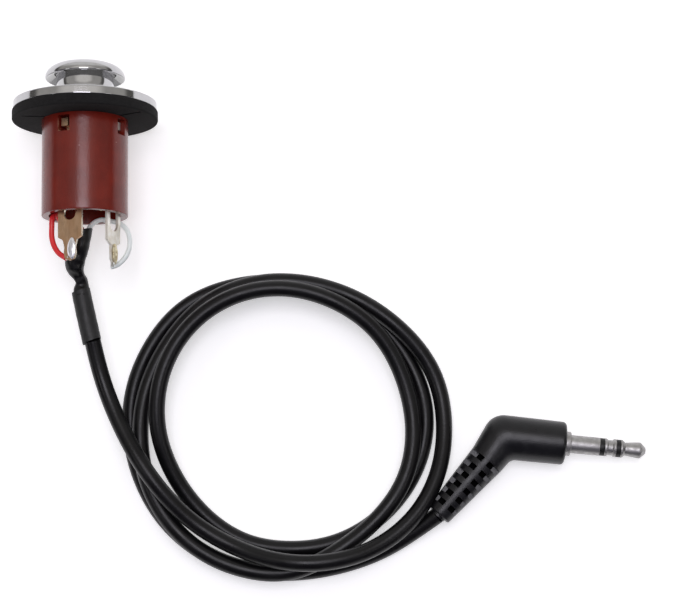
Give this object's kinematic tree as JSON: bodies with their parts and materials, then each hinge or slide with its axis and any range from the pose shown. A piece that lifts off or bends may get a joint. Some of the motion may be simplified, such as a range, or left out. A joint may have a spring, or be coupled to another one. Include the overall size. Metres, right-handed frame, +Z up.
{
  "type": "guitar end-pin output jack with lead",
  "caption": "Turned strap-button output jack with foam gasket, insulating body and solder terminals, wired through shrink sleeves to a coiled cable that ends in an angled mini plug.",
  "frame": {"origin": "on the surface that the gasket's rim rests on, under the middle of the jack without its lead", "axes": "+Y along the jack's axis towards the button's crown, +Z up, +X towards the side where the coil and the plug lie"},
  "size_m": [0.1211, 0.0997, 0.028],
  "materials": {
    "button_chrome": "polished plating",
    "gasket_foam": "closed-cell foam, matte",
    "body_moulding": "semi-gloss moulded, red-brown",
    "lug_brass": "stamped, brushed",
    "fork_tinned": "stamped, tinned",
    "washer_steel": "plated",
    "nut_brass": "turned",
    "carrier_phenolic": "moulded",
    "tip_spring_bronze": "sprung strip",
    "sleeve_spring_bronze": "sprung strip",
    "lug_solder": "bright solder",
    "fork_solder": "bright solder",
    "red_insulation": "satin insulation",
    "white_insulation": "satin insulation",
    "upper_shrink": "shrunk tube, satin",
    "lower_shrink": "shrunk tube, matte",
    "cable_jacket": "satin jacket",
    "plug_moulding": "satin moulding",
    "collar_nickel": "satin nickel",
    "sleeve_nickel": "nickel",
    "ring_insulator": "moulded",
    "ring_nickel": "nickel",
    "tip_insulator": "moulded",
    "tip_nickel": "nickel"
  },
  "bodies": {
    "jack": {"strap_button": "button_chrome", "foam_gasket": "gasket_foam", "jack_body": "body_moulding", "sleeve_terminal": "lug_brass", "tip_terminal": "fork_tinned", "lock_washer": "washer_steel", "retaining_nut": "nut_brass", "contact_carrier": "carrier_phenolic", "lug_solder_joint": "lug_solder", "fork_solder_joint": "fork_solder", "red_wire": "red_insulation", "white_wire": "white_insulation", "upper_shrink_sleeve": "upper_shrink", "lower_shrink_sleeve": "lower_shrink", "signal_cable": "cable_jacket", "plug_overmould": "plug_moulding", "plug_collar": "collar_nickel", "plug_sleeve": "sleeve_nickel", "plug_ring_insulator": "ring_insulator", "plug_ring": "ring_nickel", "plug_tip_insulator": "tip_insulator", "plug_tip": "tip_nickel"},
    "tip_contact": {"tip_contact_spring": "tip_spring_bronze"},
    "sleeve_contact": {"sleeve_contact_spring": "sleeve_spring_bronze"}
  },
  "joints": [
    {"name": "tip_contact_flex", "type": "hinge", "parent": "jack", "child": "tip_contact", "pos_m": [0.00449, -0.0037, 0.01609], "axis": [-0.4226, 0, 0.9063], "range_deg": [0, 14], "stiffness_Nm_per_rad": 0.02},
    {"name": "sleeve_contact_flex", "type": "hinge", "parent": "jack", "child": "sleeve_contact", "pos_m": [-0.00201, -0.0033, 0.01852], "axis": [0.9135, 0, 0.4067], "range_deg": [0, 12], "stiffness_Nm_per_rad": 0.02}
  ]
}
